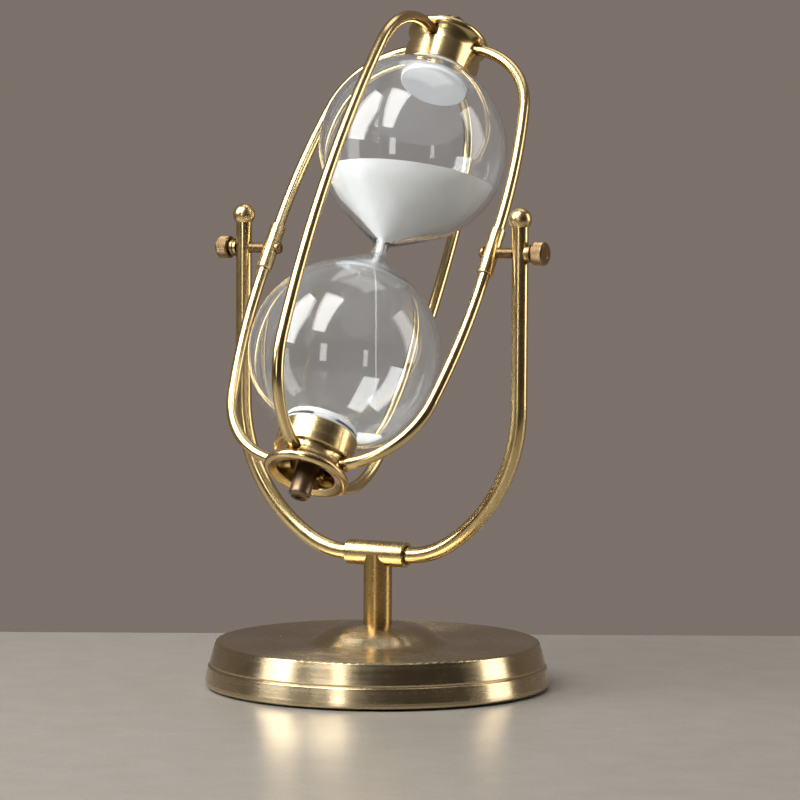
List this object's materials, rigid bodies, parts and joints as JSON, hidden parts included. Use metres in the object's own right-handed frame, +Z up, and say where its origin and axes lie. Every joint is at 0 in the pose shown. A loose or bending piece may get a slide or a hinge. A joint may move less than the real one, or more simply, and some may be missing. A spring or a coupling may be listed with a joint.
{
  "type": "hourglass",
  "caption": "Sand timer with a double glass bulb in a bent-rod brass cage that swings on thumb nuts in a U-shaped yoke on a round weighted base.",
  "frame": {"origin": "centre of the base's underside, on the table", "axes": "+Z up; the swing axis runs along X; the top of the tilted cage leans towards +Y, away from the viewer"},
  "size_m": [0.1396, 0.1568, 0.2561],
  "materials": {
    "satin_brass": "satin, brushed and slightly aged",
    "aged_bronze": "satin, darker bronze tone",
    "cast_weight": "rough, black painted",
    "felt": "matte black felt",
    "zinc_steel": "zinc plated",
    "clear_glass": "clear, blown",
    "white_sand": "fine white quartz grains",
    "white_silicone": "matte white"
  },
  "bodies": {
    "stand": {"base_cover": "satin_brass", "base_weight": "cast_weight", "base_pad": "felt", "base_washer": "zinc_steel", "base_nut": "zinc_steel", "tie_rod": "zinc_steel", "stem": "satin_brass", "yoke_sleeve": "satin_brass", "sleeve_plug": "zinc_steel", "yoke_arm_left": "satin_brass", "yoke_arm_right": "satin_brass", "finial_left": "satin_brass", "finial_right": "satin_brass", "pivot_washer_left": "aged_bronze", "pivot_washer_right": "aged_bronze"},
    "cage": {"glass_bulb_top": "clear_glass", "glass_bulb_bottom": "clear_glass", "sand_upper": "white_sand", "sand_lower": "white_sand", "sand_stream": "white_sand", "cage_rod_front": "satin_brass", "cage_rod_back": "satin_brass", "cage_rod_left_upper": "satin_brass", "cage_rod_left_lower": "satin_brass", "cage_rod_right_upper": "satin_brass", "cage_rod_right_lower": "satin_brass", "ferrule_left": "satin_brass", "ferrule_right": "satin_brass", "pivot_bolt_left": "aged_bronze", "pivot_bolt_right": "aged_bronze", "pivot_spacer_left": "satin_brass", "pivot_spacer_right": "satin_brass", "hub_ring_top": "satin_brass", "end_cap_top": "satin_brass", "hub_screw_top": "aged_bronze", "bulb_plug_top": "white_silicone", "hub_ring_bottom": "satin_brass", "end_cap_bottom": "satin_brass", "hub_screw_bottom": "aged_bronze", "bulb_plug_bottom": "white_silicone"},
    "thumb_nut_left": {"thumb_nut_left": "aged_bronze"},
    "thumb_nut_right": {"thumb_nut_right": "aged_bronze"}
  },
  "joints": [
    {"name": "cage_swing", "type": "hinge", "parent": "stand", "child": "cage", "pos_m": [0, 0, 0.1653], "axis": [1, 0, 0], "continuous": true},
    {"name": "thumb_nut_left_turn", "type": "hinge", "parent": "cage", "child": "thumb_nut_left", "pos_m": [-0.066, 0, 0.1653], "axis": [-1, 0, 0], "range_deg": [0, 1080]},
    {"name": "thumb_nut_right_turn", "type": "hinge", "parent": "cage", "child": "thumb_nut_right", "pos_m": [0.066, 0, 0.1653], "axis": [1, 0, 0], "range_deg": [0, 1080]}
  ]
}
